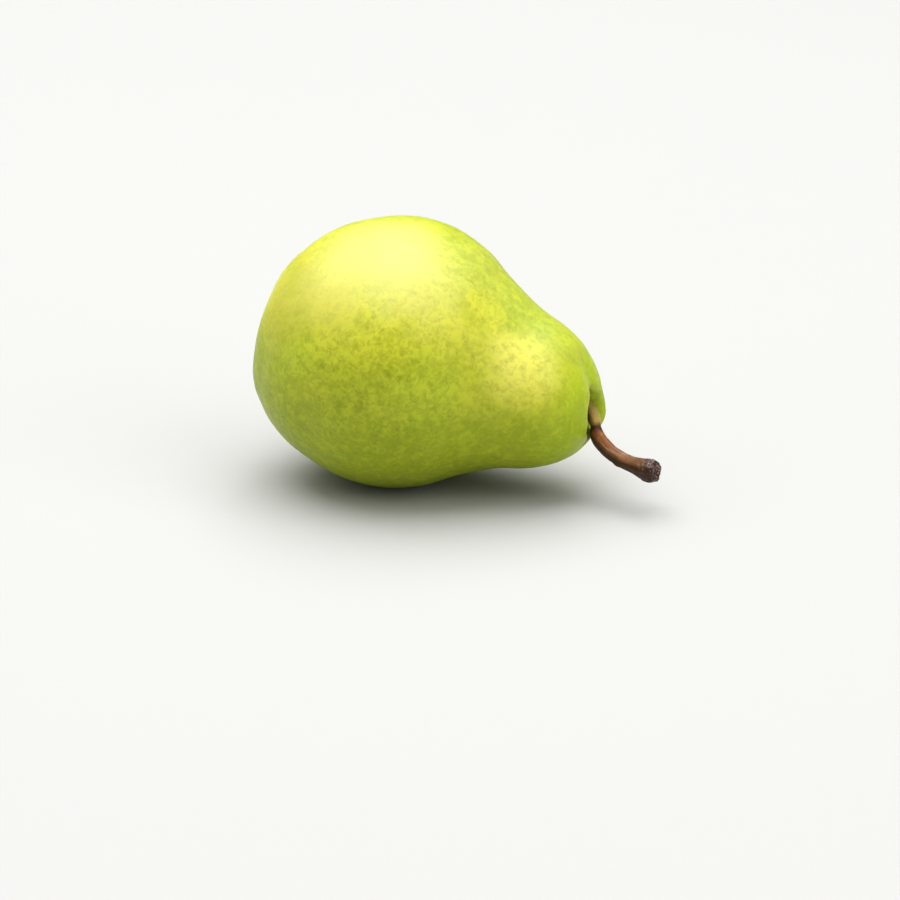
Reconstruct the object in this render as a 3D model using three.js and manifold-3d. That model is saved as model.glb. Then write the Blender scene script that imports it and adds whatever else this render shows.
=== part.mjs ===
// A green winter pear as picked, lying on its side: the fruit, its stem and the dried calyx of its blossom end.
// Millimetres, +Z up. The pear rests on a small flat spot at the origin, with its stem towards +X.
// Every piece is shaped upright, blossom end down and axis along +Z, and the group lays the pear down.

import * as THREE from 'three';
import { mergeVertices } from 'three/addons/utils/BufferGeometryUtils.js';
import Module from 'manifold-3d';

const wasm = await Module();
wasm.setup();

const { degToRad, euclideanModulo, lerp, radToDeg, smoothstep } = THREE.MathUtils;

// How the pear lies.
const LEAN = degToRad(12.5);                 // the axis slopes down towards the stem
const BALANCE_HEIGHT = 41;                   // height up the fruit at which its weight is centred
const BALANCE_LIFT = 36.05;                  // that point above the surface, once the fruit is lying
const SPOT_OFFSET = 4.2;                     // the flat spot is centred this much nearer the blossom end
const GROUND_SIZE = 80;                      // of the block that cuts the flat spot

// The fruit, as [radius, height] from the middle of the blossom end round to the middle of the stem end.
const FRUIT_OUTLINE = [
  [0, 4.6],       // floor of the blossom basin
  [4.2, 4.3],
  [8.6, 1.7],
  [13.2, 0],      // rim of the basin
  [18, 1.5],
  [22.4, 4.6],
  [28.3, 10.1],
  [34.1, 20],
  [37.9, 36.5],   // the belly, its widest
  [34.6, 52],
  [28.4, 62],
  [23, 72],       // hollow of the neck
  [19.8, 81.5],   // swell of the shoulder
  [15.3, 88.6],
  [9.4, 93.2],
  [6.8, 93.8],    // rim of the stem cavity
  [4.8, 91.6],
  [2.9, 88.8],
  [0, 88],        // floor of the stem cavity
];
const FRUIT_STEPS = 58; // rings of facets from end to end
const FRUIT_SIDES = 60;

// The fruit's lopsided growth. Angles run round the axis from the lying pear's top by way of its -Y side.
const NECK_LEAN = { up: -0.1, side: 2.5 };   // how far the stem end has grown off the axis
const BLOSSOM_DROP = 2.9;                    // how far the blossom end has grown down off it
const BOW_MIDDLE = 40;                       // height at which the axis is still true
const SHOULDER_TILT = { up: -0.09, side: -0.09, from: 76, to: 93 }; // rise per mm out from the axis
const FOLDS = [
  { angle: 248, spread: 42, rise: 2 },       // fleshy lip on the far side of the stem cavity
  { angle: 5, spread: 26, rise: -1.8 },      // groove that runs out of the cavity over the top
];
const FOLD_REACH = { from: 85, to: 93, inner: 1, outer: 7 }; // heights and radii over which they grow in
const RIBS = { count: 5, depth: 0.35, top: 60, inner: 2, outer: 14 }; // faint ribs round the blossom basin

// The stem: its route from the socket to the cut end, as [down, across, height] in the upright pear.
const STEM_ROUTE = [
  [-3.4, -1.8, 85.6],
  [-2, -2, 89.8],
  [0, -2.2, 93.2],
  [3, -2.7, 95.4],
  [5.9, -3.6, 96.9],
  [8, -5, 100.2],
  [9.2, -6.8, 104.6],
  [9.5, -8.8, 108.8],
  [8.9, -10.9, 112.2],
  [8.3, -12.6, 115.3],
];
const STEM_GIRTH = [ // [share of the length, radius]
  [0, 1.2],
  [0.12, 1.35],
  [0.22, 1.75],   // fleshy knuckle at the foot
  [0.31, 1.75],
  [0.36, 1.5],    // crease where the wood starts
  [0.5, 1.9],
  [0.68, 2.15],
  [0.82, 2.35],
  [0.93, 2.85],   // flared end
  [0.985, 2.8],
  [1, 2.3],
];
const STEM_RINGS = 44;
const STEM_SIDES = 16;
const STEM_RIDGES = { count: 5, depth: 0.05 };

// The calyx: a dried cup that five sepals and the stubs of the stamens stand on.
const CUP_OUTLINE = [ // [radius, height], from the middle of its mouth over the rim to its root
  [0, 5.4],
  [1.7, 5],
  [2.3, 3.7],
  [3, 2.9],       // rim
  [3.5, 3.6],
  [3.1, 5.4],
  [2.7, 7.6],     // root, in the flesh
  [0, 7.6],
];
const CUP_WALL = 4;        // the corner of the cup's outline from which its wall is in the flesh
const CUP_SIDES = 20;
const SEPAL_ROUTE = [[2.7, 4.6], [3.2, 3.1], [4.4, 1.9], [5.9, 1.3], [7.1, 1.6]]; // [radius, height]
const SEPALS = {
  count: 5,
  halfWidth: 1.5,
  halfThickness: 0.36,
  tip: 0.03,               // keeps the tips blunt
  stray: 0.13,             // how unevenly they are set, as a share of their spacing
  sides: 8,
  rings: 9,
};
const STAMENS = { count: 8, length: 2.6, radius: 0.34, ring: 1.1, foot: 5.6, splay: 0.16 };

const GAP = 0.3; // between a rooted piece and the flesh round it

// The closed solid of a geometry, with its shared vertices merged and the slivers at its poles left out.
function solidOf(geometry) {
  const bare = geometry.clone();
  bare.deleteAttribute('normal');
  bare.deleteAttribute('uv');
  const merged = mergeVertices(bare, 1e-4);
  const index = merged.index.array;
  const triVerts = [];
  for (let i = 0; i < index.length; i += 3) {
    const [a, b, c] = index.slice(i, i + 3);
    if (a !== b && b !== c && c !== a) triVerts.push(a, b, c);
  }
  const vertProperties = Float32Array.from(merged.attributes.position.array);
  const mesh = new wasm.Mesh({ numProp: 3, vertProperties, triVerts: Uint32Array.from(triVerts) });
  return new wasm.Manifold(mesh);
}

function geometryOf(solid) {
  const mesh = solid.getMesh();
  const geometry = new THREE.BufferGeometry();
  geometry.setAttribute('position', new THREE.BufferAttribute(Float32Array.from(mesh.vertProperties), 3));
  geometry.setIndex(new THREE.BufferAttribute(Uint32Array.from(mesh.triVerts), 1));
  geometry.computeVertexNormals();
  return geometry;
}

function eachVertex(geometry, move) {
  const position = geometry.attributes.position;
  const point = new THREE.Vector3();
  for (let i = 0; i < position.count; i += 1) {
    point.fromBufferAttribute(position, i);
    move(point);
    position.setXYZ(i, point.x, point.y, point.z);
  }
  return geometry;
}

// A body turned about the upright pear's axis from an outline of [radius, height] points.
function turned(points, sides) {
  const profile = points.map(([radius, height]) => new THREE.Vector2(radius, height));
  return new THREE.LatheGeometry(profile, sides).rotateX(Math.PI / 2);
}

// The same outline, smoothed and divided evenly.
function smoothed(points, steps) {
  const corners = points.map(([radius, height]) => new THREE.Vector3(radius, height, 0));
  const curve = new THREE.CatmullRomCurve3(corners, false, 'centripetal');
  const even = curve.getSpacedPoints(steps).map((p) => [Math.max(p.x, 0), p.y]);
  even[0][0] = 0;
  even[steps][0] = 0;
  return even;
}

// A closed bar that follows a curve. section(t, angle) gives its half-sizes along the curve's two normals.
function swept(curve, sides, rings, section) {
  const frames = curve.computeFrenetFrames(rings);
  return eachVertex(new THREE.CylinderGeometry(1, 1, 1, sides, rings), (point) => {
    const ring = Math.round((point.y + 0.5) * rings);
    const angle = Math.atan2(point.z, point.x);
    const [across, through] = section(ring / rings, angle);
    const normal = frames.normals[ring].clone().multiplyScalar(point.x * across);
    const binormal = frames.binormals[ring].clone().multiplyScalar(point.z * through);
    point.copy(curve.getPointAt(ring / rings)).add(normal).sub(binormal);
  });
}

const FRUIT_LENGTH = Math.max(...FRUIT_OUTLINE.map(([, height]) => height));

// How far down the axis has grown at a height in the blossom half.
function droop(height) {
  return BLOSSOM_DROP * Math.max(1 - height / BOW_MIDDLE, 0) ** 2;
}

// How far the shoulder, the lip and the groove rise at a height, radius and angle of the stem end.
function shoulderRise(height, radius, angle) {
  const tilt = SHOULDER_TILT.up * Math.cos(angle) + SHOULDER_TILT.side * Math.sin(angle);
  const growIn = smoothstep(height, FOLD_REACH.from, FOLD_REACH.to)
    * smoothstep(radius, FOLD_REACH.inner, FOLD_REACH.outer);
  let rise = smoothstep(height, SHOULDER_TILT.from, SHOULDER_TILT.to) * tilt * radius;
  for (const fold of FOLDS) {
    const off = euclideanModulo(radToDeg(angle) - fold.angle + 180, 360) - 180;
    rise += growIn * fold.rise * Math.exp(-((off / fold.spread) ** 2));
  }
  return rise;
}

// Moves a point of the plain turned fruit to where its growth has carried it.
function grow(point) {
  const radius = Math.hypot(point.x, point.y);
  const angle = Math.atan2(-point.y, -point.x);
  const neck = Math.max((point.z - BOW_MIDDLE) / (FRUIT_LENGTH - BOW_MIDDLE), 0) ** 2;
  const ribbed = (1 - smoothstep(point.z, 0, RIBS.top)) * smoothstep(radius, RIBS.inner, RIBS.outer);
  const swell = 1 + RIBS.depth * ribbed * Math.cos(RIBS.count * angle) / Math.max(radius, 1);
  const rise = shoulderRise(point.z, radius, angle);
  point.x = point.x * swell - NECK_LEAN.up * neck + droop(point.z);
  point.y = point.y * swell - NECK_LEAN.side * neck;
  point.z += rise;
}

function girthAt(t) {
  const next = Math.max(STEM_GIRTH.findIndex(([share]) => share >= t), 1);
  const [t0, r0] = STEM_GIRTH[next - 1];
  const [t1, r1] = STEM_GIRTH[next];
  return lerp(r0, r1, smoothstep(t, t0, t1));
}

// The stem, grown by a width all round for the socket that holds it.
function stemSolid(extra) {
  const route = STEM_ROUTE.map((corner) => new THREE.Vector3(...corner));
  const curve = new THREE.CatmullRomCurve3(route, false, 'centripetal');
  return solidOf(swept(curve, STEM_SIDES, STEM_RINGS, (t, angle) => {
    const radius = girthAt(t) * (1 + STEM_RIDGES.depth * Math.cos(STEM_RIDGES.count * angle)) + extra;
    return [radius, radius];
  }));
}

function sepal(index) {
  const { count, halfWidth, halfThickness, tip, stray, sides, rings } = SEPALS;
  const corners = SEPAL_ROUTE.map(([radius, height]) => new THREE.Vector3(radius, 0, height));
  const route = new THREE.CatmullRomCurve3(corners);
  const blade = swept(route, sides, rings, (t) => [halfWidth * Math.sqrt(1 - t * t + tip), halfThickness]);
  return blade.rotateZ((index + stray * Math.sin(4 * index)) * 2 * Math.PI / count);
}

function stamen(index) {
  const { count, length, radius, ring, foot, splay } = STAMENS;
  const stub = new THREE.CylinderGeometry(radius * 0.7, radius, length, 6, 1).rotateX(-Math.PI / 2);
  return stub.rotateY(-splay).translate(ring, 0, foot - length / 2).rotateZ(index * 2 * Math.PI / count);
}

// The dried calyx: cup, sepals and stamen stubs, fused. Its mouth opens downwards in the upright pear.
function calyxSolid() {
  let solid = solidOf(turned(CUP_OUTLINE, CUP_SIDES));
  for (let i = 0; i < SEPALS.count; i += 1) solid = solid.add(solidOf(sepal(i)));
  for (let i = 0; i < STAMENS.count; i += 1) solid = solid.add(solidOf(stamen(i)));
  return solid;
}

const CALYX_PLACE = new THREE.Vector3(droop(CUP_OUTLINE[3][1]), 0, 0); // it has grown down with the fruit

// The pear's own frame, laid down.
const pear = new THREE.Group();
pear.rotation.y = Math.PI / 2 + LEAN;
const balance = new THREE.Vector3(0, 0, BALANCE_HEIGHT).applyEuler(pear.rotation);
pear.position.set(SPOT_OFFSET, 0, BALANCE_LIFT).sub(balance);
pear.updateMatrixWorld();

// The fruit: grown, cut flat where it rests, and with a socket for the stem and one for the calyx.
function fruitSolid() {
  const body = eachVertex(turned(smoothed(FRUIT_OUTLINE, FRUIT_STEPS), FRUIT_SIDES), grow);
  const ground = new THREE.BoxGeometry(GROUND_SIZE, GROUND_SIZE, GROUND_SIZE);
  ground.translate(0, 0, -GROUND_SIZE / 2);
  ground.applyMatrix4(pear.matrixWorld.clone().invert());
  const wall = CUP_OUTLINE.slice(CUP_WALL).map(([radius, height]) => [radius + GAP, height + GAP]);
  const socket = turned([[0, wall[0][1]], ...wall.slice(0, -1), [0, wall.at(-1)[1]]], CUP_SIDES);
  socket.translate(...CALYX_PLACE);
  return solidOf(body).subtract(solidOf(ground)).subtract(stemSolid(GAP)).subtract(solidOf(socket));
}

function piece(name, solid, color, roughness) {
  const material = new THREE.MeshStandardMaterial({ color, roughness, metalness: 0 });
  const mesh = new THREE.Mesh(geometryOf(solid), material);
  mesh.name = name;
  return mesh;
}

pear.add(piece('fruit', fruitSolid(), 0xb9c43c, 0.42));
pear.add(piece('stem', stemSolid(0), 0x7a4a2a, 0.75));
const calyx = piece('calyx', calyxSolid(), 0x4a3626, 0.9);
calyx.position.copy(CALYX_PLACE);
pear.add(calyx);

const group = new THREE.Group();
group.add(pear);

export default group;
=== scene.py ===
"""A green winter pear lying on its side: the fruit with its waxy skin, its woody stem and its dried calyx."""

import math

import bmesh
import bpy
from mathutils import Matrix, Vector, noise


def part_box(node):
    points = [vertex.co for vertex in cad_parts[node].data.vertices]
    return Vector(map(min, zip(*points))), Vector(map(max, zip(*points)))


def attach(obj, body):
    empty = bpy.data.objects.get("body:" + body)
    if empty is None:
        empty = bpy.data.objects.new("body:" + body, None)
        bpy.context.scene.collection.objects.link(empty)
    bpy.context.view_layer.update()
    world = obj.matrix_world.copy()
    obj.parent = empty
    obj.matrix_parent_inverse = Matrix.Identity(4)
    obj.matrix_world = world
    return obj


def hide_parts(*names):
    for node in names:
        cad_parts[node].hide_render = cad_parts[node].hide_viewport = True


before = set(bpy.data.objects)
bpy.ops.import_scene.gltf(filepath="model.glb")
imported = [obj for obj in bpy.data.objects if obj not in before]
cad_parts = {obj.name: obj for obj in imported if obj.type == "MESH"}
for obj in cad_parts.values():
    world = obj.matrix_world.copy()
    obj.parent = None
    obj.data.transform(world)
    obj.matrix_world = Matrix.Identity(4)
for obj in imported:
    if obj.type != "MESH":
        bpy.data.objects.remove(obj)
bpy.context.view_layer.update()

# ----------------------------------------------------------------------------------------------------
# Fruit. One grown piece of flesh under a thin waxed skin, green going to yellow where the sun reached
# it. It is turned from its outline standing upright, blossom end down, in mm, then grown out of true
# and laid on its side.

MM = 0.001
LEAN = math.radians(12.5)  # the axis slopes down towards the stem
FRUIT_OUTLINE = [  # (radius, height) from the middle of the blossom end to the middle of the stem end
    (0, 6.4),
    (2.4, 6.0),  # seat of the calyx
    (4.2, 4.3),
    (8.6, 1.7),
    (13.2, 0),  # rim of the blossom basin
    (18, 1.5),
    (22.4, 4.6),
    (28.3, 10.1),
    (34.1, 20),
    (37.9, 36.5),  # belly
    (34.6, 52),
    (28.4, 62),
    (23, 72),  # hollow of the neck
    (19.8, 81.5),
    (15.3, 88.6),
    (9.4, 93.2),
    (6.8, 93.8),  # rim of the stem cavity
    (4.8, 91.6),
    (2.9, 88.8),
    (0, 88),
]
FRUIT_LENGTH = 93.8
OUTLINE_STEPS = 7  # between two points of the outline
FRUIT_SIDES = 112
NECK_LEAN = (-0.1, 2.5)  # how far the stem end has grown up, and to the near side
BLOSSOM_DROP = 2.9  # how far the blossom end has grown down
BOW_MIDDLE = 40  # height at which the axis is true
SHOULDER_TILT = (-0.09, -0.09)  # rise of the shoulder per mm out, on the top and on the near side
SHOULDER_HEIGHTS = (76, 93)  # over which the tilt grows in
FOLDS = [(248, 42, 2.0), (105, 30, 0.8), (5, 26, -1.8)]  # (angle, spread, rise) of the lips and the groove
FOLD_HEIGHTS = (85, 93)  # over which the folds grow in
FOLD_RADII = (1, 7)
RIBS = 5
RIB_DEPTH = 0.35
RIB_HEIGHTS = (0, 60)  # over which the ribs die away
RIB_RADII = (2, 14)  # over which they grow in
UNEVEN = [(16.0, 0.22), (7.0, 0.07)]  # (size, depth) of the skin's gentle unevenness
UNEVEN_RADII = (2, 12)  # over which it grows in
LAID = math.pi / 2 + LEAN  # turn that lays the upright fruit on its side


def smoothstep(value, low, high):
    """0 up to low and 1 from high on, with a soft slope between."""
    share = min(max((value - low) / (high - low), 0), 1)
    return share * share * (3 - 2 * share)


def smooth_curve(name, corners, steps):
    """A curve that runs smoothly through its corners, with so many steps between two of them."""
    curve = bpy.data.curves.new(name, "CURVE")
    curve.dimensions = "3D"
    spline = curve.splines.new("BEZIER")
    spline.resolution_u = steps
    spline.bezier_points.add(len(corners) - 1)
    for point, corner in zip(spline.bezier_points, corners):
        point.co = corner
    for point in spline.bezier_points:  # the handles follow once every corner is set
        point.handle_left_type = point.handle_right_type = "AUTO"
    return bpy.data.objects.new(name, curve)


def turned(name, outline, steps, sides):
    """A smooth (radius, height) outline turned about the upright axis, as a bmesh."""
    holder = smooth_curve(name, [(radius, 0, height) for radius, height in outline], steps)
    bm = bmesh.new()
    bm.from_mesh(holder.to_mesh())
    bpy.data.objects.remove(holder)
    for vert in bm.verts:
        vert.co.x = max(vert.co.x, 0)  # the smooth outline stays on its side of the axis
    bmesh.ops.spin(
        bm, geom=bm.verts[:] + bm.edges[:], cent=(0, 0, 0), axis=(0, 0, 1), angle=math.tau, steps=sides,
        use_merge=True,
    )
    bmesh.ops.remove_doubles(bm, verts=bm.verts, dist=1e-3)
    bmesh.ops.recalc_face_normals(bm, faces=bm.faces)
    return bm


def droop(height):
    """How far the axis has grown down at a height."""
    return BLOSSOM_DROP * max(1 - height / BOW_MIDDLE, 0) ** 2


def shoulder_rise(height, radius, angle):
    """How far the tilt and the folds lift the skin at the stem end."""
    tilt = SHOULDER_TILT[0] * math.cos(angle) + SHOULDER_TILT[1] * math.sin(angle)
    rise = smoothstep(height, *SHOULDER_HEIGHTS) * tilt * radius
    for middle, spread, depth in FOLDS:
        off = (math.degrees(angle) - middle + 180) % 360 - 180
        grown = smoothstep(height, *FOLD_HEIGHTS) * smoothstep(radius, *FOLD_RADII)
        rise += grown * depth * math.exp(-((off / spread) ** 2))
    return rise


def grow(co):
    """Where growth has carried a point of the turned fruit. Angles run from the top by the near side."""
    radius = math.hypot(co.x, co.y)
    angle = math.atan2(-co.y, -co.x)
    neck = max((co.z - BOW_MIDDLE) / (FRUIT_LENGTH - BOW_MIDDLE), 0) ** 2
    ribbed = (1 - smoothstep(co.z, *RIB_HEIGHTS)) * smoothstep(radius, *RIB_RADII)
    swell = RIB_DEPTH * ribbed * math.cos(RIBS * angle)
    for size, depth in UNEVEN:
        swell += depth * smoothstep(radius, *UNEVEN_RADII) * noise.noise(co / size)
    stretch = 1 + swell / max(radius, 1)
    return Vector((
        co.x * stretch - NECK_LEAN[0] * neck + droop(co.z),
        co.y * stretch - NECK_LEAN[1] * neck,
        co.z + shoulder_rise(co.z, radius, angle),
    ))


fruit_mesh = turned("fruit_outline", FRUIT_OUTLINE, OUTLINE_STEPS, FRUIT_SIDES)
for vert in fruit_mesh.verts:
    vert.co = grow(vert.co)

lay_down = Matrix.Rotation(LAID, 4, "Y") @ Matrix.Scale(MM, 4)
lying = [lay_down @ vert.co for vert in fruit_mesh.verts]
node_low, node_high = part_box("fruit")
across = (min(co.y for co in lying) + max(co.y for co in lying)) / 2
place = Vector((
    node_high.x - max(co.x for co in lying),
    (node_low.y + node_high.y) / 2 - across,
    node_high.z - max(co.z for co in lying),
))
lay_down = Matrix.Translation(place) @ lay_down


def finish_piece(name, bm, material, levels=0):
    """The bmesh as a smooth-shaded piece of one material, subdivided where levels are given."""
    mesh = bpy.data.meshes.new(name)
    for face in bm.faces:
        face.smooth = True
    bm.to_mesh(mesh)
    bm.free()
    mesh.materials.append(material)
    piece = bpy.data.objects.new(name, mesh)
    bpy.context.scene.collection.objects.link(piece)
    if levels:
        smoother = piece.modifiers.new("smooth", "SUBSURF")
        smoother.levels = smoother.render_levels = levels
    return piece


def linear(code):
    """An sRGB hex colour as linear values."""
    shares = [int(code[i:i + 2], 16) / 255 for i in (1, 3, 5)]
    return [s / 12.92 if s <= 0.04045 else ((s + 0.055) / 1.055) ** 2.4 for s in shares] + [1]


def add(tree, kind, inputs=None, output=0, **settings):
    """A node with its settings, its inputs set or linked. Gives one of its outputs, where it has any."""
    made = tree.nodes.new("ShaderNode" + kind)
    for key, value in settings.items():
        setattr(made, key, value)
    for key, value in (inputs or {}).items():
        if isinstance(value, bpy.types.NodeSocket):
            tree.links.new(value, made.inputs[key])
        else:
            made.inputs[key].default_value = value
    return made.outputs[output] if made.outputs else None


def new_material(name):
    """A material with an empty node tree, and that tree."""
    material = bpy.data.materials.new(name)
    material.use_nodes = True
    material.node_tree.nodes.clear()
    return material, material.node_tree


# Waxed pear skin: thin, satin, and a little translucent. It is yellow down the side that faced the sun
# and green elsewhere, with a darker green underside that is partly its own colour and partly painted
# shade, and a darker green mottle and paler flecks all over. Two pale patches above the belly are a
# painted highlight, a paler patch on the side of the neck is partly one, and a dark patch under the stem
# is a painted shadow. Real dots are under 1 mm, so they are drawn as curled flecks of 1.5 to 2 mm,
# coarse enough to show.
SKIN_YELLOW = "#D0CE3B"
SKIN_GREEN = "#A3B21A"
SHADE_GREEN = "#90A212"
SHOULDER_GREEN = "#A6BC1C"
MOTTLE_GREEN = "#788404"
NET_YELLOW = "#D6D82E"
RUSSET_AND_SHADOW = [  # (middle in the upright pear, radius in mm, colour, share)
    ((-1, -2, 88), 6.5, "#8C6D30", 0.85),  # in the stem cavity
    ((7.0, -2.8, 94.4), 4, "#4A3208", 0.8),  # a painted shadow under the stem
    ((2.5, 0, 4), 10, "#86702C", 0.8),  # in the blossom basin
]
SUN_SIDE = 40  # degrees from the top towards the near side
TONE_AND_HIGHLIGHT_PATCHES = [  # (middle in the upright pear, radius in mm, colour, share)
    ((-22.5, -5.5, 71.5), 17, "#A3B240", 0.8),  # greener on top of the neck
    ((-18.5, -8.5, 79.0), 13, "#A3B240", 0.65),
    ((-33.0, -7.0, 53.0), 19, "#A8B656", 0.5),  # and above the belly
    ((-13.0, -19.0, 73.5), 14, "#E6E064", 0.75),  # paler on the side of the neck, partly a painted highlight
    ((-15.0, -31.0, 32.0), 15, "#CFCF3C", 0.5),  # on the belly
    ((-5.0, -33.5, 53.5), 15, "#B2C628", 0.6),  # greener below the sunned side
    ((-4.0, -31.5, 15.0), 12, "#B2C628", 0.5),
]
FADED_AND_HIGHLIGHT_PATCHES = [  # the same, laid over the mottle so that they fade it too
    ((-15.5, -21.0, 9.0), 20, "#AEAA46", 0.62),  # buff by the blossom end
    ((-19.0, -28.0, 23.0), 13, "#C2BC48", 0.5),
    ((-31.0, -16.0, 26.0), 27, "#D2D078", 0.45),  # palest above the belly, this patch and the next: a painted highlight
    ((-29.5, -23.0, 42.0), 18, "#D2D078", 0.4),
]
PATCH_CORE = 0.2  # share of a patch's radius within which it is at its strongest
RUSSET_AND_SHADOW_CORE = 0.4
RUSSET_AND_SHADOW_FRAY = 0.35  # how far the mottle frays the edges of the russet and the painted shadow, as a share of the radius
EDGE_MM = 5
EDGE_PUSH_MM = 4  # how far the edges of the patches wander
BLOTCH_MM = 14
BLOTCH_DEPTH = 1.1  # how much the blotches change the ripeness
CLOUD_MM = 6
PATCHY_MM = 2.7  # sizes of the mottle's three parts, and how much of each is in it
PATCHY_DEPTH = -1.15
DOT_CELL_MM = 2.0
DOT_DEPTH = 0.6
FINE_MM = 1.5
FINE_DEPTH = 1.2
MOTTLE_LEVEL = -0.42  # brings the mottle to about zero in the middle
CURL_MM = 2.1
CURL_PUSH_MM = 4.4  # how far the curls can carry the dots
DENSE_MIDDLE = (-8, -35, 36)  # on the belly, where the mottle is strongest
SHOULDER_CALM = 0.45  # how much weaker it is on the green shoulder
NET_SHARE = 0.42  # how strong the paler flecks are

skin, tree = new_material("waxed_pear_skin")
spot = add(tree, "Mapping", {
    "Vector": add(tree, "TexCoord", output="Object"),
    "Scale": (1 / MM,) * 3,
    "Rotation": (0, -LAID, 0),
    "Location": Matrix.Rotation(-LAID, 3, "Y") @ place / -MM,
})
spot_height = add(tree, "SeparateXYZ", {0: spot}, output="Z")
outward = add(tree, "VectorMath", {0: spot, 1: (1, 1, 0)}, operation="MULTIPLY")
outward = add(tree, "VectorMath", {0: outward}, operation="NORMALIZE")
sun_side = (-math.cos(math.radians(SUN_SIDE)), -math.sin(math.radians(SUN_SIDE)), 0)
sunned = add(tree, "VectorMath", {0: outward, 1: sun_side}, operation="DOT_PRODUCT", output="Value")
blotch = add(tree, "TexNoise", {"Vector": spot, "Scale": 1 / BLOTCH_MM, "Detail": 2.0})
blotch = add(tree, "Math", {0: blotch, 1: BLOTCH_DEPTH, 2: -BLOTCH_DEPTH / 2}, operation="MULTIPLY_ADD")
ripeness = add(tree, "MapRange", {"Value": sunned, "From Min": 0.5, "From Max": 1.0})
ripeness = add(tree, "Math", {0: ripeness, 1: blotch}, operation="ADD", use_clamp=True)
colour = add(tree, "Mix", {
    0: ripeness, 6: linear(SKIN_GREEN), 7: linear(SKIN_YELLOW),
}, output=2, data_type="RGBA")
# Painted shade: the underside turns to the darker shade green, partly the greener skin of a side out of the
# sun.
painted_underside_shade = add(tree, "MapRange", {"Value": sunned, "From Min": 0.5, "From Max": -0.5})
colour = add(tree, "Mix", {0: painted_underside_shade, 6: colour, 7: linear(SHADE_GREEN)}, output=2, data_type="RGBA")
shoulder = add(tree, "MapRange", {"Value": spot_height, "From Min": 80, "From Max": 90, "To Max": 0.85})
colour = add(tree, "Mix", {
    0: shoulder, 6: colour, 7: linear(SHOULDER_GREEN),
}, output=2, data_type="RGBA")
cloud = add(tree, "TexNoise", {"Vector": spot, "Scale": 1 / CLOUD_MM, "Detail": 1.0})
cloud = add(tree, "MapRange", {"Value": cloud, "From Min": 0.45, "From Max": 0.7, "To Max": 0.3})
colour = add(tree, "Mix", {0: cloud, 6: colour, 7: linear(SHADE_GREEN)}, output=2, data_type="RGBA")
ragged = add(tree, "TexNoise", {"Vector": spot, "Scale": 1 / EDGE_MM, "Detail": 2.0}, output="Color")
ragged = add(tree, "VectorMath", {0: ragged, 1: (2 * EDGE_PUSH_MM,) * 3, 2: spot}, operation="MULTIPLY_ADD")
ragged = add(tree, "VectorMath", {0: ragged, 1: (-EDGE_PUSH_MM,) * 3}, operation="ADD")


def with_patches(colour, patches):
    """The skin's colour with soft ragged patches over it."""
    for middle, radius, patch_colour, share in patches:
        patch = add(tree, "VectorMath", {0: ragged, 1: middle}, output="Value", operation="DISTANCE")
        patch = add(tree, "MapRange", {
            "Value": patch, "From Min": radius, "From Max": radius * PATCH_CORE, "To Max": share,
        }, interpolation_type="SMOOTHSTEP")
        colour = add(tree, "Mix", {
            0: patch, 6: colour, 7: linear(patch_colour),
        }, output=2, data_type="RGBA")
    return colour


# Greener and yellower patches of skin, one of them partly a painted highlight on the neck.
colour = with_patches(colour, TONE_AND_HIGHLIGHT_PATCHES)
curled = add(tree, "TexNoise", {"Vector": spot, "Scale": 1 / CURL_MM, "Detail": 1.0}, output="Color")
curled = add(tree, "VectorMath", {0: curled, 1: (CURL_PUSH_MM,) * 3, 2: spot}, operation="MULTIPLY_ADD")
patchy = add(tree, "TexNoise", {"Vector": spot, "Scale": 1 / PATCHY_MM, "Detail": 2.0, "Roughness": 0.6})
mottle = add(tree, "TexVoronoi", {"Vector": curled, "Scale": 1 / DOT_CELL_MM})
mottle = add(tree, "Math", {0: mottle, 1: DOT_DEPTH, 2: MOTTLE_LEVEL}, operation="MULTIPLY_ADD")
mottle = add(tree, "Math", {0: patchy, 1: PATCHY_DEPTH, 2: mottle}, operation="MULTIPLY_ADD")
fine = add(tree, "TexNoise", {"Vector": curled, "Scale": 1 / FINE_MM, "Detail": 2.0})
mottle = add(tree, "Math", {0: fine, 1: FINE_DEPTH, 2: mottle}, operation="MULTIPLY_ADD")
green_share = add(tree, "MapRange", {"Value": ripeness, "To Min": 0.86, "To Max": 0.8})
green_share = add(tree, "Math", {0: shoulder, 1: -SHOULDER_CALM, 2: green_share}, operation="MULTIPLY_ADD")
dense = add(tree, "VectorMath", {0: ragged, 1: DENSE_MIDDLE}, output="Value", operation="DISTANCE")
dense = add(tree, "MapRange", {"Value": dense, "From Min": 32, "From Max": 12, "To Min": 0.72})
green_share = add(tree, "Math", {0: green_share, 1: dense}, operation="MULTIPLY")
dark = add(tree, "MapRange", {"Value": mottle, "From Min": 0.05, "From Max": -0.9, "To Max": green_share})
colour = add(tree, "Mix", {0: dark, 6: colour, 7: linear(MOTTLE_GREEN)}, output=2, data_type="RGBA")
net_share = add(tree, "Math", {0: dense, 1: NET_SHARE}, operation="MULTIPLY")
pale = add(tree, "MapRange", {"Value": mottle, "From Min": -0.04, "From Max": 0.45, "To Max": net_share})
colour = add(tree, "Mix", {0: pale, 6: colour, 7: linear(NET_YELLOW)}, output=2, data_type="RGBA")
# Buff and ochre patches over the mottle, and two pale ones above the belly that are a painted highlight.
colour = with_patches(colour, FADED_AND_HIGHLIGHT_PATCHES)
matt = 0
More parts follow.
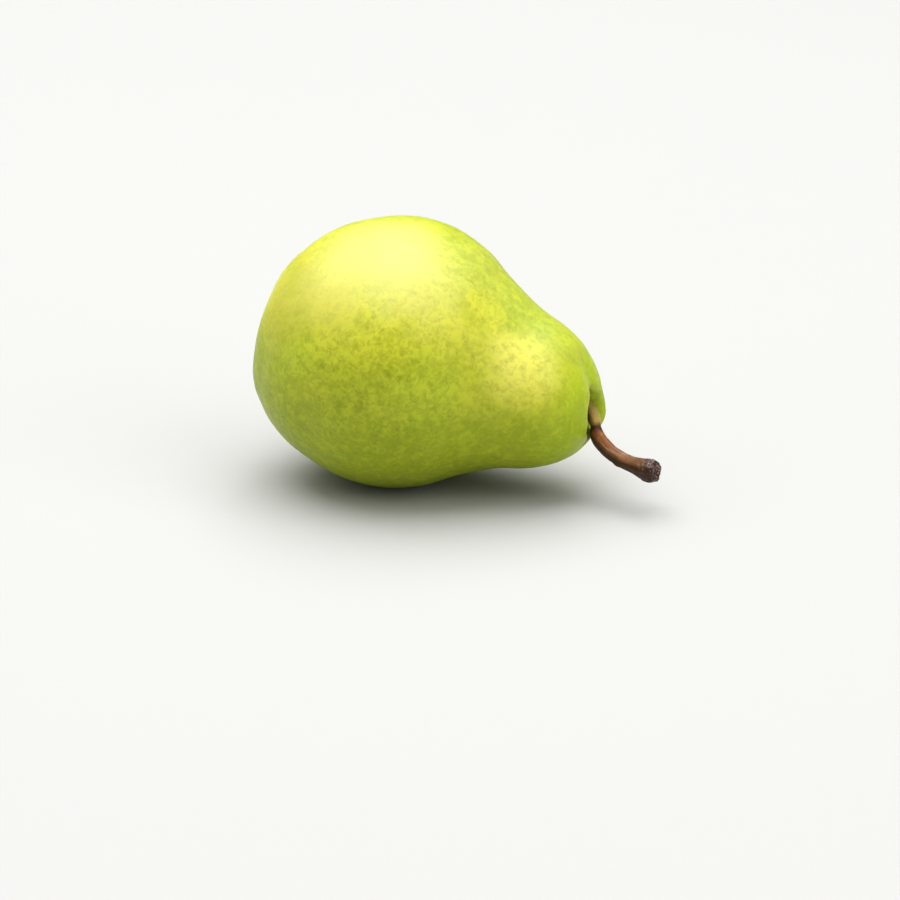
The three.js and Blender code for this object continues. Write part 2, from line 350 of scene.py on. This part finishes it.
# Russet in the cavity and the basin, and a painted shadow under the stem; all of them also make the skin
# matt.
for middle, radius, russet_and_shadow_colour, share in RUSSET_AND_SHADOW:
    rough = add(tree, "VectorMath", {0: ragged, 1: middle}, output="Value", operation="DISTANCE")
    rough = add(tree, "Math", {0: mottle, 1: radius * RUSSET_AND_SHADOW_FRAY, 2: rough}, operation="MULTIPLY_ADD")
    rough = add(tree, "MapRange", {
        "Value": rough, "From Min": radius, "From Max": radius * RUSSET_AND_SHADOW_CORE, "To Max": share,
    }, interpolation_type="SMOOTHSTEP")
    colour = add(tree, "Mix", {0: rough, 6: colour, 7: linear(russet_and_shadow_colour)}, output=2, data_type="RGBA")
    matt = add(tree, "Math", {0: matt, 1: rough}, operation="MAXIMUM")
matt = add(tree, "MapRange", {"Value": matt, "To Min": 0.4, "To Max": 0.85})
bump = add(tree, "Bump", {"Height": mottle, "Strength": 0.3, "Distance": 0.1 * MM})
skin_shader = add(tree, "BsdfPrincipled", {
    "Base Color": colour,
    "Roughness": matt,
    "IOR": 1.45,
    "Specular IOR Level": 0.28,
    "Subsurface Weight": 0.1,
    "Subsurface Radius": (1.0, 0.8, 0.2),
    "Subsurface Scale": 2 * MM,
    "Normal": bump,
})
add(tree, "OutputMaterial", {"Surface": skin_shader})

for vert in fruit_mesh.verts:
    vert.co = lay_down @ vert.co
    vert.co.z = max(vert.co.z, node_low.z)  # flat where it rests
fruit = finish_piece("fruit_skin", fruit_mesh, skin, levels=1)
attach(fruit, "root")
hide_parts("fruit")

# ----------------------------------------------------------------------------------------------------
# Stem. A ribbed woody stalk that grew out of the cavity: a pale fleshy foot, a dark crease where the
# bark starts, and a flared end, torn off and dried almost black. It is turned straight, then bent along
# its route.

STEM_ROUTE = [  # (down, across, height) in the upright pear, mm
    (-3.4, -1.8, 85.6),
    (-2, -2, 89.8),
    (0, -2.2, 93.2),
    (3, -2.7, 95.4),
    (5.9, -3.6, 96.9),
    (8, -5, 100.2),
    (9.0, -6.8, 104.5),
    (9.0, -8.8, 108.8),
    (8.4, -10.9, 112.4),
    (7.9, -12.7, 115.9),
]
STEM_GIRTH = [  # (share of the length, radius in mm)
    (0, 0),
    (0, 1.1),
    (0.12, 1.3),
    (0.22, 1.75),  # fleshy foot
    (0.3, 1.75),
    (0.345, 1.42),  # crease
    (0.39, 1.9),
    (0.5, 2.05),
    (0.68, 2.1),
    (0.8, 2.3),
    (0.88, 2.75),
    (0.945, 3.25),  # swollen end
    (0.985, 2.8),
    (1, 1.9),
    (0.995, 0.9),
    (0.99, 0),
]
ROUTE_STEPS = 24  # between two points of the route
GIRTH_STEPS = 9
STEM_SIDES = 56
BARK_SHARES = (0.34, 0.45)  # shares of the length over which the bark's relief grows in
RIDGES = 5
RIDGE_DEPTH = 0.05  # as a share of the radius
RIDGE_TWIST = 0.06  # shift of the ridges' wave for each mm along the stem, in radians
WRINKLE_MM = (1.1, 4.0)  # across the stem and along it
WRINKLE_DEPTH = 0.13
FINER = (2.3, 0.5)  # how many times finer the second wrinkles are, and how strong
NUB = (0.668, -96, 0.65)  # scar of a bud: share of the length, angle and height
NUB_SPREAD = (0.012, 16)  # share of the length, and degrees
TORN_SHARES = (0.88, 0.94)  # shares of the length over which the torn end's lumps grow in
TORN_DEPTH = 0.32
TORN_LUMPS = 0.8  # to the mm
TORN_PLACE = Vector((3, 1, 2))  # where in the noise they are taken
FACE_SHARES = (0.96, 0.99)  # the same for the broken face
FACE_ROUGHER = 1.5  # times as deep as the torn end's lumps
FACE_LUMPS = 1.1
AXIS_CALM = 1.2  # mm from the axis within which the relief dies away

route = smooth_curve("stem_route", STEM_ROUTE, ROUTE_STEPS)
bpy.context.scene.collection.objects.link(route)
stem_length = route.data.splines[0].calc_length()

girth = [(radius, share * stem_length) for share, radius in STEM_GIRTH]
stem_mesh = turned("stem_girth", girth, GIRTH_STEPS, STEM_SIDES)
straight = stem_mesh.verts.layers.float_vector.new("straight")
for vert in stem_mesh.verts:
    radius = vert.co.xy.length
    angle = math.atan2(vert.co.y, vert.co.x)
    share = vert.co.z / stem_length
    cell = Vector((vert.co.x / WRINKLE_MM[0], vert.co.y / WRINKLE_MM[0], vert.co.z / WRINKLE_MM[1]))
    grain = noise.noise(cell)
    grain += FINER[1] * noise.noise(cell * FINER[0])
    ridge = radius * RIDGE_DEPTH * math.cos(RIDGES * angle + RIDGE_TWIST * vert.co.z)
    out = smoothstep(share, *BARK_SHARES) * (ridge + WRINKLE_DEPTH * grain)
    off = (math.degrees(angle) - NUB[1] + 180) % 360 - 180
    out += NUB[2] * math.exp(-(((share - NUB[0]) / NUB_SPREAD[0]) ** 2) - (off / NUB_SPREAD[1]) ** 2)
    out += smoothstep(share, *TORN_SHARES) * TORN_DEPTH * noise.noise(vert.co * TORN_LUMPS + TORN_PLACE)
    vert[straight] = vert.co.copy()
    if radius > 0:
        vert.co.xy *= 1 + smoothstep(radius, 0, AXIS_CALM) * out / radius
    face = smoothstep(share, *FACE_SHARES)
    vert.co.z += face * TORN_DEPTH * FACE_ROUGHER * noise.noise(vert.co * FACE_LUMPS)
    vert.co = Vector((vert.co.z, vert.co.x, vert.co.y))  # along x, for the bend

# Dried pear wood: reddish-brown bark in fine lengthwise streaks, tan where it is rubbed, with a satin
# shine, and darkened down its lower side with painted shade. The foot is still flesh, buff and greenish,
# turning olive with painted shade where it sinks into the cavity, and the torn end is dark and rough
# with pale specks of pith.
BARK = "#804B1D"
BARK_DARK = "#351A05"
BARK_RUBBED = "#B48543"
FOOT = "#B4964A"
FOOT_SUNK_SHADE = "#6A5E16"
BARK_OLD = "#54361C"
TORN = "#34190D"
PITH = "#A88C80"
STREAK_MM = (0.5, 5.0)  # across the stem and along it
CREASE_SHARE = 0.355  # share of the length at which the crease lies
TORN_FRAY = 0.1  # how far the edge of the torn end wanders, as a share of the length
SHADE_SIDE = -125  # degrees round the stem, where painted shade darkens the bark
SHADE_FRAY = 0.8  # how much the streaks break up that side's edge

bark, tree = new_material("dried_pear_wood")
along = add(tree, "Attribute", output="Vector", attribute_name="straight")
share = add(tree, "SeparateXYZ", {0: along}, output="Z")
share = add(tree, "Math", {0: share, 1: stem_length}, operation="DIVIDE")
streaks = add(tree, "Mapping", {
    "Vector": along,
    "Scale": (1 / STREAK_MM[0], 1 / STREAK_MM[0], 1 / STREAK_MM[1]),
})
streak = add(tree, "TexNoise", {"Vector": streaks, "Scale": 1.0, "Detail": 3.0, "Roughness": 0.6})
dark = add(tree, "MapRange", {"Value": streak, "From Min": 0.52, "From Max": 0.75, "To Max": 0.8})
rubbed = add(tree, "TexNoise", {"Vector": along, "Scale": 0.22, "Detail": 2.0})
rubbed = add(tree, "MapRange", {"Value": rubbed, "From Min": 0.5, "From Max": 0.68, "To Max": 0.55})
wood = add(tree, "Mix", {
    0: rubbed, 6: linear(BARK), 7: linear(BARK_RUBBED),
}, output=2, data_type="RGBA")
wood = add(tree, "Mix", {0: dark, 6: wood, 7: linear(BARK_DARK)}, output=2, data_type="RGBA")
old = add(tree, "MapRange", {"Value": share, "From Min": 0.55, "From Max": 0.88, "To Max": 0.85})
wood = add(tree, "Mix", {0: old, 6: wood, 7: linear(BARK_OLD)}, output=2, data_type="RGBA")
fleshy = add(tree, "MapRange", {"Value": share, "From Min": 0.345, "From Max": 0.31})
# Painted shade: the foot darkens to olive where it sinks into the cavity.
sunk = add(tree, "MapRange", {"Value": share, "From Min": 0.29, "From Max": 0.2})
foot = add(tree, "Mix", {0: sunk, 6: linear(FOOT), 7: linear(FOOT_SUNK_SHADE)}, output=2, data_type="RGBA")
wood = add(tree, "Mix", {0: fleshy, 6: wood, 7: foot}, output=2, data_type="RGBA")
crease = add(tree, "Math", {0: share, 1: CREASE_SHARE}, operation="SUBTRACT")
crease = add(tree, "Math", {0: crease}, operation="ABSOLUTE")
crease = add(tree, "MapRange", {"Value": crease, "From Min": 0.036, "From Max": 0.01, "To Max": 0.78})
wood = add(tree, "Mix", {0: crease, 6: wood, 7: linear(BARK_DARK)}, output=2, data_type="RGBA")
torn = add(tree, "TexNoise", {"Vector": along, "Scale": 0.9, "Detail": 3.0})
torn = add(tree, "Math", {0: torn, 1: TORN_FRAY, 2: share}, operation="MULTIPLY_ADD")
torn = add(tree, "MapRange", {"Value": torn, "From Min": 0.92, "From Max": 0.99})
speck = add(tree, "TexNoise", {"Vector": along, "Scale": 1.5, "Detail": 2.0})
speck = add(tree, "MapRange", {"Value": speck, "From Min": 0.54, "From Max": 0.66, "To Max": 0.75})
end = add(tree, "Mix", {0: speck, 6: linear(TORN), 7: linear(PITH)}, output=2, data_type="RGBA")
wood = add(tree, "Mix", {0: torn, 6: wood, 7: end}, output=2, data_type="RGBA")
# Painted shade: the bark and the torn end are darker down the side that faces SHADE_SIDE.
side = add(tree, "VectorMath", {0: along, 1: (1, 1, 0)}, operation="MULTIPLY")
side = add(tree, "VectorMath", {0: side}, operation="NORMALIZE")
shade_side = (math.cos(math.radians(SHADE_SIDE)), math.sin(math.radians(SHADE_SIDE)), 0)
side = add(tree, "VectorMath", {0: side, 1: shade_side}, operation="DOT_PRODUCT", output="Value")
side = add(tree, "Math", {0: streak, 1: SHADE_FRAY, 2: side}, operation="MULTIPLY_ADD")
side = add(tree, "MapRange", {"Value": side, "From Min": 0.85, "From Max": 1.3, "To Max": 0.85})
wood = add(tree, "Mix", {0: side, 6: wood, 7: linear(BARK_DARK)}, output=2, data_type="RGBA")
smooth = add(tree, "MapRange", {"Value": torn, "To Min": 1.0, "To Max": 0.25})
grain = add(tree, "Math", {0: streak, 1: smooth}, operation="MULTIPLY")
bark_bump = add(tree, "Bump", {"Height": grain, "Strength": 0.6, "Distance": 0.25 * MM})
bark_shader = add(tree, "BsdfPrincipled", {
    "Base Color": wood,
    "Roughness": 0.42,
    "IOR": 1.5,
    "Specular IOR Level": 0.3,
    "Normal": bark_bump,
})
add(tree, "OutputMaterial", {"Surface": bark_shader})

stem = finish_piece("stem_wood", stem_mesh, bark, levels=1)
bend = stem.modifiers.new("bend", "CURVE")
bend.object = route
bend.deform_axis = "POS_X"
bent = bpy.data.meshes.new_from_object(stem.evaluated_get(bpy.context.evaluated_depsgraph_get()))
stem.modifiers.clear()
stem.data = bent
bent.transform(lay_down)
bpy.data.objects.remove(route)
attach(stem, "root")
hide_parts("stem")

# ----------------------------------------------------------------------------------------------------
# Calyx. What is left of the flower in the blossom basin: a small dried cup that grew on the fruit, five
# shrivelled sepals curling out of its rim, and the withered stamens that stand inside.

CUP_OUTLINE = [  # (radius, height): the mouth is at the low end, and the root is sunk in the flesh
    (0, 5.4),
    (1.7, 5),
    (2.3, 3.7),
    (3, 2.9),
    (3.5, 3.6),
    (3.1, 5.4),
    (2.7, 7.6),
    (0, 7.6),
]
SEPAL_ROUTE = [(2.7, 4.6), (3.2, 3.1), (4.4, 1.9), (5.9, 1.3), (7.1, 1.6)]  # (radius, height)
CALYX_HEIGHT = 2.9  # height whose droop the calyx follows
CUP_STEPS = 5  # between two points of the outline
CUP_SIDES = 40
CUP_WOBBLE = (1.6, 0.12)  # size in mm, and depth as a share of the radius
CUP_WAVE = (1.3, 0.35)  # size and depth of the unevenness up and down, mm
CUP_WAVE_PLACE = Vector((7, 0, 0))  # where in the noise it is taken
SEPALS = 5
SEPAL_STEPS = (18, 10)  # along a sepal and across it
SEPAL_HALF_WIDTH = 1.7
SEPAL_TIP = 0.16  # width of the tip, as a share of the root's
SEPAL_TAPER = 0.75  # below 1, a sepal keeps its width for longer
SEPAL_THICKNESS = 0.42
SEPAL_STRAY = 0.2  # how unevenly they are set, in radians
SEPAL_FOLD = 0.7  # how far the edges stand away from the skin, mm
FOLD_AT_ROOT = 0.3  # how much of that there is at the root already
CURL_RATES = (2.4, 1.2, 3.1)  # how fast the curl changes along a sepal, across it and from one to the next
CURL_IN = 0.4  # how far it carries a sepal in, aside and up, mm
CURL_ASIDE = 0.9
CURL_UP = 1.3
CRUMPLE_RATES = (7, 3.5, 5.3)
CRUMPLE_OUT = 0.35
CRUMPLE_UP = 0.45
STAMENS = 14
STAMEN_SIDES = 8
STAMEN_LENGTH = 2.9
STAMEN_RADIUS = 0.17
STAMEN_TAPER = 0.6
STAMEN_TURN = 0.618  # of a full turn from one to the next
STAMEN_ROOT = 5.6  # height at which they stand in the cup
STAMEN_RING = (0.5, 0.8)  # radius at which the first stands, and how much further out the others go
STAMEN_SPLAY = 0.2  # how far they lean out, in radians
STAMEN_STRAY = (0.4, 0.3)  # how much their lengths and their leans differ
STAMEN_PLACE = (1.7, 0.3, 0.9)  # step from one to the next in the noise, and where it is taken

# Dried sepal: thin flesh gone brown and brittle, and quite matt. Its colour follows the crumples' bump:
# paler on the crests, a painted highlight, and dark in the hollows, painted shade.
DRY = "#4A3420"
DRY_PALE = "#8C7650"
DRY_DARK = "#21160C"
CRUMPLE_MM = 0.9

dried, tree = new_material("dried_sepal")
where = add(tree, "TexCoord", output="Object")
crumpled = add(tree, "TexNoise", {
    "Vector": where,
    "Scale": 1 / (CRUMPLE_MM * MM),
    "Detail": 4.0,
    "Roughness": 0.65,
})
# Painted highlight on the crumples' crests and painted shade in their hollows, from the bump's own noise.
pale = add(tree, "MapRange", {"Value": crumpled, "From Min": 0.5, "From Max": 0.7})
deep = add(tree, "MapRange", {"Value": crumpled, "From Min": 0.48, "From Max": 0.32})
dry = add(tree, "Mix", {0: pale, 6: linear(DRY), 7: linear(DRY_PALE)}, output=2, data_type="RGBA")
dry = add(tree, "Mix", {0: deep, 6: dry, 7: linear(DRY_DARK)}, output=2, data_type="RGBA")
dry_bump = add(tree, "Bump", {"Height": crumpled, "Strength": 0.7, "Distance": 0.3 * MM})
dry_shader = add(tree, "BsdfPrincipled", {
    "Base Color": dry,
    "Roughness": 0.8,
    "IOR": 1.45,
    "Normal": dry_bump,
})
add(tree, "OutputMaterial", {"Surface": dry_shader})

in_basin = lay_down @ Matrix.Translation((droop(CALYX_HEIGHT), 0, 0))
cup_mesh = turned("cup_outline", CUP_OUTLINE, CUP_STEPS, CUP_SIDES)
for vert in cup_mesh.verts:
    vert.co.xy *= 1 + CUP_WOBBLE[1] * noise.noise(vert.co / CUP_WOBBLE[0])
    vert.co.z += CUP_WAVE[1] * noise.noise(vert.co / CUP_WAVE[0] + CUP_WAVE_PLACE)
cup_mesh.transform(in_basin)
cup = finish_piece("calyx_cup", cup_mesh, dried, levels=1)


def route_point(points, share):
    """A point at a share of the way along a (radius, height) route."""
    step = min(share * (len(points) - 1), len(points) - 1.001)
    start = int(step)
    return Vector(points[start]).lerp(Vector(points[start + 1]), step - start)


def rumpled(share, side, number, rates):
    """Noise over the sepals, either way from zero."""
    along, across, apart = rates
    return noise.noise(Vector((share * along, side * across, number * apart)))


sepals_mesh = bmesh.new()
for number in range(SEPALS):
    grown = bmesh.ops.create_grid(
        sepals_mesh, x_segments=SEPAL_STEPS[0], y_segments=SEPAL_STEPS[1], size=0.5,
    )["verts"]
    for vert in grown:
        share = vert.co.x + 0.5  # 0 at the root, 1 at the tip
        side = vert.co.y * 2  # -1 at one edge, 1 at the other
        radius, rise = route_point(SEPAL_ROUTE, share)
        wide = SEPAL_HALF_WIDTH * (SEPAL_TIP + (1 - SEPAL_TIP) * (1 - share) ** SEPAL_TAPER)
        curl = rumpled(share, side, number, CURL_RATES)
        crumple = rumpled(share, side, number, CRUMPLE_RATES)
        fold = SEPAL_FOLD * side * side * (FOLD_AT_ROOT + share)
        vert.co = Vector((
            radius + CRUMPLE_OUT * crumple - CURL_IN * curl,
            side * wide + CURL_ASIDE * curl * share,
            rise - fold + CURL_UP * curl * share + CRUMPLE_UP * crumple,
        ))
    turn = Matrix.Rotation(math.tau * number / SEPALS + SEPAL_STRAY * math.sin(5 * number), 4, "Z")
    bmesh.ops.transform(sepals_mesh, matrix=in_basin @ turn, verts=grown)
bmesh.ops.recalc_face_normals(sepals_mesh, faces=sepals_mesh.faces)
sepals = finish_piece("calyx_sepals", sepals_mesh, dried)
wall = sepals.modifiers.new("wall", "SOLIDIFY")
wall.thickness = SEPAL_THICKNESS * MM
wall.offset = 0
smoother = sepals.modifiers.new("smooth", "SUBSURF")
smoother.levels = smoother.render_levels = 1

stamens_mesh = bmesh.new()
for number in range(STAMENS):
    stray = noise.noise(Vector((number * STAMEN_PLACE[0], STAMEN_PLACE[1], STAMEN_PLACE[2])))
    length = STAMEN_LENGTH * (1 + STAMEN_STRAY[0] * stray)
    grown = bmesh.ops.create_cone(
        stamens_mesh, cap_ends=True, segments=STAMEN_SIDES, depth=length,
        radius1=STAMEN_RADIUS, radius2=STAMEN_RADIUS * STAMEN_TAPER,
    )["verts"]
    turn = Matrix.Rotation(math.tau * number * STAMEN_TURN, 4, "Z")
    out = Matrix.Translation((STAMEN_RING[0] + STAMEN_RING[1] * number / STAMENS, 0, STAMEN_ROOT))
    lean = Matrix.Rotation(math.pi - STAMEN_SPLAY - STAMEN_STRAY[1] * stray, 4, "Y")
    stand = Matrix.Translation((0, 0, length / 2))
    stood = turn @ out @ lean @ stand
    bmesh.ops.transform(stamens_mesh, matrix=in_basin @ stood, verts=grown)
stamens = finish_piece("calyx_stamens", stamens_mesh, dried)

for piece in (cup, sepals, stamens):
    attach(piece, "root")
    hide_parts("calyx")

# ----------------------------------------------------------------------------------------------------
# Camera. A long lens that looks down on the pear's side, moved a little round towards the stem end. The
# pear sits to the upper left of the middle of the picture.

IMAGE_SIDE = 900  # pixels
SENSOR = 36.0  # mm
VIEW_AZIMUTH = math.radians(13.4)
VIEW_ELEVATION = math.radians(20)
VIEW_DISTANCE = 0.9  # m
PIXELS_PER_METRE = 3610  # at that distance
CENTRE = Vector((0.0042, 0, 0.03605))  # about the middle of the fruit's weight
CENTRE_PIXEL = (412.3, 355.3)

right = Vector((math.cos(VIEW_AZIMUTH), math.sin(VIEW_AZIMUTH), 0))
back = Vector((
    math.sin(VIEW_AZIMUTH) * math.cos(VIEW_ELEVATION),
    -math.cos(VIEW_AZIMUTH) * math.cos(VIEW_ELEVATION),
    math.sin(VIEW_ELEVATION),
))
up = back.cross(right)
aim = CENTRE.copy()
aim += right * (IMAGE_SIDE / 2 - CENTRE_PIXEL[0]) / PIXELS_PER_METRE
aim -= up * (IMAGE_SIDE / 2 - CENTRE_PIXEL[1]) / PIXELS_PER_METRE

camera = bpy.data.objects.new("camera", bpy.data.cameras.new("camera"))
camera.data.sensor_width = SENSOR
camera.data.lens = SENSOR * PIXELS_PER_METRE * VIEW_DISTANCE / IMAGE_SIDE
camera.data.clip_start = 0.01
camera.data.clip_end = 50
facing = Matrix((right, up, back)).transposed().to_4x4()
camera.matrix_world = Matrix.Translation(aim + back * VIEW_DISTANCE) @ facing
bpy.context.scene.collection.objects.link(camera)
bpy.context.scene.camera = camera

# ----------------------------------------------------------------------------------------------------
# Floor and light. A plain pale sheet, two large soft lamps above, one wide and one less so, a weak fill
# from the right and a weaker one from the left, low down.

FLOOR_REACH = 8  # m from the middle to each side
FLOOR_GAP = 0.1  # mm under the fruit, so that its flat spot doesn't lie in the floor
PAPER = "#B0B0AE"

floor_mesh = bmesh.new()
bmesh.ops.create_grid(floor_mesh, x_segments=1, y_segments=1, size=FLOOR_REACH)
bmesh.ops.translate(floor_mesh, verts=floor_mesh.verts, vec=(0, 0, -FLOOR_GAP * MM))
paper, tree = new_material("pale_floor")
paper_shader = add(tree, "BsdfPrincipled", {"Base Color": linear(PAPER), "Roughness": 0.9})
add(tree, "OutputMaterial", {"Surface": paper_shader})
floor = finish_piece("floor", floor_mesh, paper)


def lamp(name, towards, distance, size, power):
    """A square lamp that shines on the fruit from a direction. Metres and watts."""
    towards = Vector(towards)
    made = bpy.data.objects.new(name, bpy.data.lights.new(name, "AREA"))
    made.data.size = size
    made.data.energy = power
    made.location = CENTRE + towards.normalized() * distance
    made.rotation_euler = towards.to_track_quat("Z", "Y").to_euler()
    bpy.context.scene.collection.objects.link(made)


lamp("key_lamp", towards=(-0.12, 0.17, 0.97), distance=2.6, size=3.0, power=115)
lamp("wide_lamp", towards=(-0.12, 0.1, 0.98), distance=2.9, size=6.5, power=148)
lamp("fill_lamp", towards=(0.77, -0.29, 0.55), distance=2.6, size=2.2, power=28)
lamp("bounce_lamp", towards=(-0.8, -0.5, 0.25), distance=2.6, size=2.0, power=9)
world = bpy.data.worlds.new("studio")
bpy.context.scene.world = world
world.use_nodes = True
world.node_tree.nodes["Background"].inputs["Color"].default_value = (1, 1, 1, 1)
world.node_tree.nodes["Background"].inputs["Strength"].default_value = 0.1
bpy.context.scene.view_settings.view_transform = "Standard"
